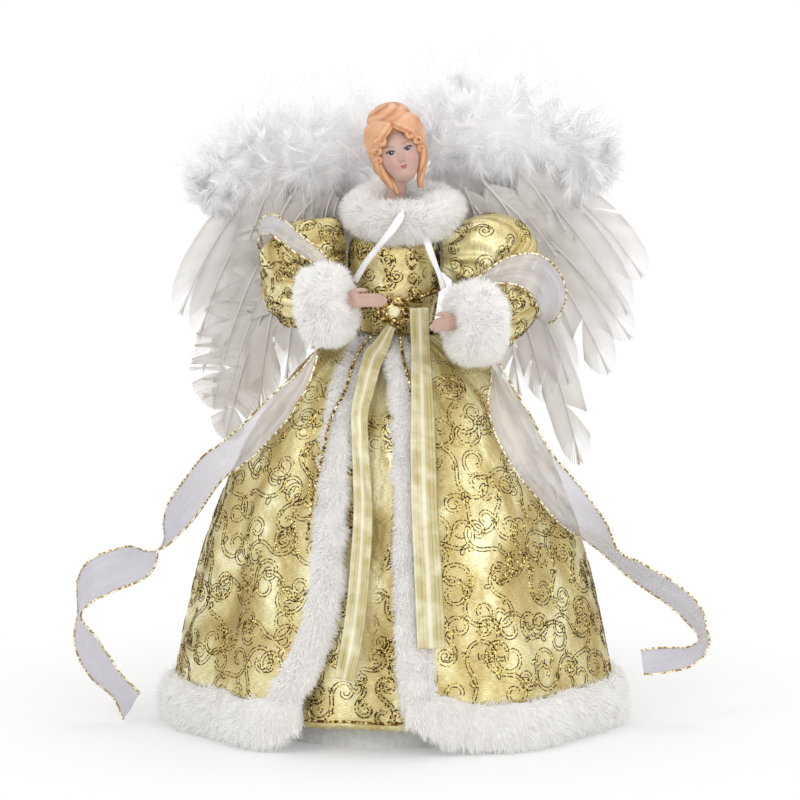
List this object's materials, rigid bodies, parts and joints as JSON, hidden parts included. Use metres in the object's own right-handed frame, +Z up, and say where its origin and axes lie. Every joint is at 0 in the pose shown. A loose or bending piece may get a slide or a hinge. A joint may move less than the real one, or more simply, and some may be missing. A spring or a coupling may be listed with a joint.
{
  "type": "light-up christmas angel",
  "caption": "Light-up angel in a brocade coat with fur trims, feather wings and an organza shawl, on a hollow cone that stands on a table or slips over a tree's tip.",
  "frame": {"origin": "on the standing surface, on the axis of the cone", "axes": "+Z up, -Y towards the front of the figure, +X to the right as seen from the front"},
  "size_m": [0.3829, 0.2608, 0.3888],
  "materials": {
    "card_cone": "matte white card",
    "gold_brocade": "gold lame brocade with raised scrolls in metallic thread",
    "white_fur": "long-pile plush",
    "feather": "goose feather and down",
    "organza": "sheer, with a wired edge in gold thread",
    "gold_satin": "striped satin ribbon",
    "white_satin": "satin ribbon",
    "bisque": "matt, painted",
    "gold_trim": "polished",
    "stone": "faceted",
    "white_plastic": "satin",
    "wire": "drawn",
    "black_plastic": "satin",
    "cell": "gloss",
    "foam": "foam",
    "led": "clear, warm white"
  },
  "bodies": {
    "figure": {"skirt_cone": "card_cone", "underskirt": "gold_brocade", "coat_skirt": "gold_brocade", "fur_band_left": "white_fur", "fur_band_right": "white_fur", "fur_hem": "white_fur", "torso_form": "white_plastic", "bodice": "gold_brocade", "head": "bisque", "fur_collar": "white_fur", "brooch_mount": "gold_trim", "brooch_stone": "stone", "wing_bracket": "white_plastic", "battery_box": "black_plastic", "battery_1": "cell", "battery_2": "cell", "foam_wedge": "foam", "led_1": "led", "led_2": "led", "led_3": "led", "led_4": "led", "led_5": "led", "led_6": "led", "led_wire": "white_plastic", "shawl_trail_left": "organza", "satin_tail_left": "gold_satin", "bead_string_left": "gold_trim", "collar_tie_left": "white_satin", "shawl_trail_right": "organza", "satin_tail_right": "gold_satin", "bead_string_right": "gold_trim", "collar_tie_right": "white_satin"},
    "wing_left": {"wing_wire_left": "wire", "wing_card_left": "card_cone", "feathers_outer_left": "feather", "feathers_middle_left": "feather", "feathers_inner_left": "feather", "wing_down_left": "feather"},
    "wing_right": {"wing_wire_right": "wire", "wing_card_right": "card_cone", "feathers_outer_right": "feather", "feathers_middle_right": "feather", "feathers_inner_right": "feather", "wing_down_right": "feather"},
    "arm_left": {"arm_wire_left": "wire", "sleeve_puff_left": "gold_brocade", "sleeve_lower_left": "gold_brocade", "fur_cuff_left": "white_fur", "hand_left": "bisque", "shawl_loop_left": "organza"},
    "arm_right": {"arm_wire_right": "wire", "sleeve_puff_right": "gold_brocade", "sleeve_lower_right": "gold_brocade", "fur_cuff_right": "white_fur", "hand_right": "bisque", "shawl_loop_right": "organza"},
    "battery_door": {"battery_door": "black_plastic"},
    "switch": {"switch_knob": "white_plastic"}
  },
  "joints": [
    {"name": "wing_left_fold", "type": "hinge", "parent": "figure", "child": "wing_left", "pos_m": [-0.01, 0.0412, 0.27], "axis": [0, 0, -1], "range_deg": [0, 35]},
    {"name": "wing_right_fold", "type": "hinge", "parent": "figure", "child": "wing_right", "pos_m": [0.01, 0.0412, 0.27], "axis": [0, 0, 1], "range_deg": [0, 35]},
    {"name": "arm_left_raise", "type": "hinge", "parent": "figure", "child": "arm_left", "pos_m": [-0.02, 0, 0.283], "axis": [-1, 0, 0], "range_deg": [0, 20]},
    {"name": "arm_right_raise", "type": "hinge", "parent": "figure", "child": "arm_right", "pos_m": [0.02, 0, 0.283], "axis": [-1, 0, 0], "range_deg": [0, 20]},
    {"name": "battery_door_slide", "type": "slide", "parent": "figure", "child": "battery_door", "axis": [0, 0, 1], "range_m": [0, 0.02]},
    {"name": "switch_slide", "type": "slide", "parent": "figure", "child": "switch", "axis": [1, 0, 0], "range_m": [0, 0.004]}
  ]
}
